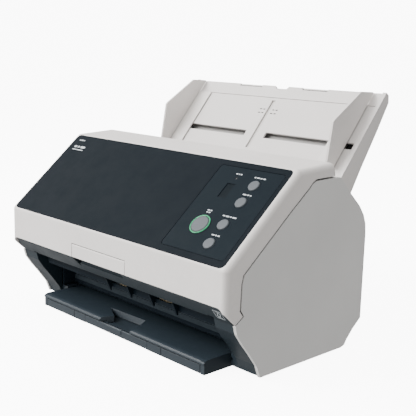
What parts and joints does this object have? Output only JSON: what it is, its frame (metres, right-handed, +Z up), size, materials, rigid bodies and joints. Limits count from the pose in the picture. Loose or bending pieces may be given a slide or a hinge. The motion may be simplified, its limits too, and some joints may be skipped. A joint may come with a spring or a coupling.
{
  "type": "sheet fed document scanner",
  "caption": "Desktop duplex sheet fed document scanner with hinged feeder unit, raised paper chute with sliding guides and pull-out stacker.",
  "frame": {"origin": "centre of the footprint's bounding rectangle, on the surface the feet stand on", "axes": "+X to the viewer's right along the width, +Y from the front band to the back, +Z up"},
  "size_m": [0.3, 0.2304, 0.2186],
  "materials": {
    "white_shell": "fine satin texture",
    "grey_shell": "fine satin texture",
    "slate_panel": "fine grained",
    "operator_plastic": "fine grained",
    "dark_plastic": "fine grained",
    "black_plastic": "semi matte",
    "sensor_glass": "clear",
    "display_plastic": "smooth",
    "key_plastic": "satin",
    "green_ring": "translucent look",
    "lamp_plastic": "clear",
    "steel": "zinc plated",
    "motor_metal": "satin",
    "port_metal": "nickel plated",
    "board": "solder mask",
    "acetal": "smooth",
    "roller_rubber": "matte",
    "tan_rubber": "matte",
    "belt_rubber": "matte",
    "foot_rubber": "matte"
  },
  "bodies": {
    "base": {"base_tray": "dark_plastic", "left_side_cover": "grey_shell", "right_side_cover": "grey_shell", "rear_cover": "grey_shell", "left_front_pillar": "dark_plastic", "right_front_pillar": "dark_plastic", "exit_ledge": "slate_panel", "exit_comb": "dark_plastic", "bay_liner": "dark_plastic", "lower_paper_guide": "dark_plastic", "lower_sensor_housing": "black_plastic", "lower_glass": "sensor_glass", "left_side_frame": "steel", "right_side_frame": "steel", "frame_tie_bars": "steel", "hinge_pins": "steel", "latch_strikers": "steel", "control_board": "board", "dc_inlet": "black_plastic", "usb_port": "port_metal", "lan_port": "port_metal", "drive_motor": "motor_metal", "drive_belts": "belt_rubber", "rubber_feet": "foot_rubber", "case_screws": "steel", "chute_plate": "white_shell", "chute_back_cover": "grey_shell"},
    "motor_shaft": {"motor_pulley": "acetal"},
    "pick": {"pick_roller": "roller_rubber"},
    "feed": {"feed_roller": "roller_rubber"},
    "eject": {"eject_roller": "tan_rubber"},
    "left_guide": {"left_paper_guide": "white_shell"},
    "right_guide": {"right_paper_guide": "white_shell"},
    "pinion": {"guide_pinion": "acetal"},
    "extension_1": {"chute_extension_1": "white_shell"},
    "extension_2": {"chute_extension_2": "white_shell"},
    "feeder": {"feeder_cover": "white_shell", "top_panel": "slate_panel", "operator_panel": "operator_plastic", "display_window": "display_plastic", "check_lamp": "lamp_plastic", "operator_board": "board", "scan_ring": "green_ring", "upper_paper_guide": "dark_plastic", "upper_sensor_housing": "black_plastic", "upper_glass": "sensor_glass", "hinge_arms": "steel", "exit_lip": "slate_panel"},
    "scan_key": {"scan_button": "key_plastic"},
    "function_key": {"function_button": "key_plastic"},
    "send_key": {"send_button": "key_plastic"},
    "feed_mode_key": {"feed_mode_button": "key_plastic"},
    "power_key": {"power_button": "key_plastic"},
    "tab": {"release_tab": "white_shell"},
    "latch": {"latch_shaft": "steel"},
    "brake": {"brake_roller": "roller_rubber"},
    "idlers": {"idler_rollers": "tan_rubber"},
    "stacker": {"stacker": "dark_plastic"},
    "stacker_extension": {"stacker_extension": "dark_plastic"},
    "stopper": {"stacker_stopper": "dark_plastic"}
  },
  "joints": [
    {"name": "feeder_open", "type": "hinge", "parent": "base", "child": "feeder", "pos_m": [0, 0.0063, 0.1575], "axis": [-1, 0, 0], "range_deg": [0, 60]},
    {"name": "release_tab_pull", "type": "hinge", "parent": "feeder", "child": "tab", "pos_m": [0, -0.1136, 0.0764], "axis": [-1, 0, 0], "range_deg": [0, 24], "stiffness_Nm_per_rad": 0.05},
    {"name": "latch_turn", "type": "hinge", "parent": "feeder", "child": "latch", "pos_m": [0, -0.0932, 0.078], "axis": [-1, 0, 0], "range_deg": [0, 14.4]},
    {"name": "scan_press", "type": "slide", "parent": "feeder", "child": "scan_key", "axis": [0, 0.6542, -0.7563], "range_m": [0, 0.001], "stiffness_N_per_m": 900},
    {"name": "function_press", "type": "slide", "parent": "feeder", "child": "function_key", "axis": [0, 0.6542, -0.7563], "range_m": [0, 0.001], "stiffness_N_per_m": 900},
    {"name": "send_press", "type": "slide", "parent": "feeder", "child": "send_key", "axis": [0, 0.6542, -0.7563], "range_m": [0, 0.001], "stiffness_N_per_m": 900},
    {"name": "feed_mode_press", "type": "slide", "parent": "feeder", "child": "feed_mode_key", "axis": [0, 0.6542, -0.7563], "range_m": [0, 0.001], "stiffness_N_per_m": 900},
    {"name": "power_press", "type": "slide", "parent": "feeder", "child": "power_key", "axis": [0, 0.6542, -0.7563], "range_m": [0, 0.001], "stiffness_N_per_m": 900},
    {"name": "brake_spin", "type": "hinge", "parent": "feeder", "child": "brake", "pos_m": [0, 0.00095, 0.10379], "axis": [1, 0, 0], "continuous": true},
    {"name": "idler_spin", "type": "hinge", "parent": "feeder", "child": "idlers", "pos_m": [0, -0.08859, 0.06097], "axis": [1, 0, 0], "continuous": true},
    {"name": "feed_spin", "type": "hinge", "parent": "base", "child": "feed", "pos_m": [0, 0.01578, 0.09144], "axis": [1, 0, 0], "continuous": true},
    {"name": "pick_spin", "type": "hinge", "parent": "base", "child": "pick", "pos_m": [0, 0.03421, 0.11513], "axis": [1, 0, 0], "continuous": true},
    {"name": "eject_spin", "type": "hinge", "parent": "base", "child": "eject", "pos_m": [0, -0.08536, 0.0491], "axis": [1, 0, 0], "continuous": true},
    {"name": "motor_spin", "type": "hinge", "parent": "base", "child": "motor_shaft", "pos_m": [0.135, -0.0152, 0.038], "axis": [1, 0, 0], "continuous": true},
    {"name": "left_guide_slide", "type": "slide", "parent": "base", "child": "left_guide", "axis": [1, 0, 0], "range_m": [0, 0.07]},
    {"name": "right_guide_slide", "type": "slide", "parent": "base", "child": "right_guide", "axis": [1, 0, 0], "range_m": [-0.07, 0]},
    {"name": "guide_pinion_turn", "type": "hinge", "parent": "base", "child": "pinion", "pos_m": [0, 0.07262, 0.16903], "axis": [0, -0.7683, 0.6401], "range_deg": [-803, 803]},
    {"name": "chute_extension_1_slide", "type": "slide", "parent": "base", "child": "extension_1", "axis": [0, 0.6401, 0.7683], "range_m": [0, 0.045]},
    {"name": "chute_extension_2_slide", "type": "slide", "parent": "extension_1", "child": "extension_2", "axis": [0, 0.6401, 0.7683], "range_m": [0, 0.045]},
    {"name": "stacker_slide", "type": "slide", "parent": "base", "child": "stacker", "axis": [0, -1, 0], "range_m": [0, 0.078]},
    {"name": "stacker_extension_slide", "type": "slide", "parent": "stacker", "child": "stacker_extension", "axis": [0, -1, 0], "range_m": [0, 0.085]},
    {"name": "stopper_flip", "type": "hinge", "parent": "stacker_extension", "child": "stopper", "pos_m": [0, -0.1003, 0.0066], "axis": [-1, 0, 0], "range_deg": [0, 90]}
  ],
  "couplings": [
    {"joint": "latch_turn", "follows": "release_tab_pull", "ratio": 0.6},
    {"joint": "pick_spin", "follows": "feed_spin", "ratio": 1},
    {"joint": "eject_spin", "follows": "feed_spin", "ratio": 1},
    {"joint": "motor_spin", "follows": "feed_spin", "ratio": 1},
    {"joint": "idler_spin", "follows": "feed_spin", "ratio": -1.4},
    {"joint": "brake_spin", "follows": "feed_spin", "ratio": -1.1111},
    {"joint": "right_guide_slide", "follows": "left_guide_slide", "ratio": -1},
    {"joint": "guide_pinion_turn", "follows": "left_guide_slide", "rad_per_m": -200}
  ]
}
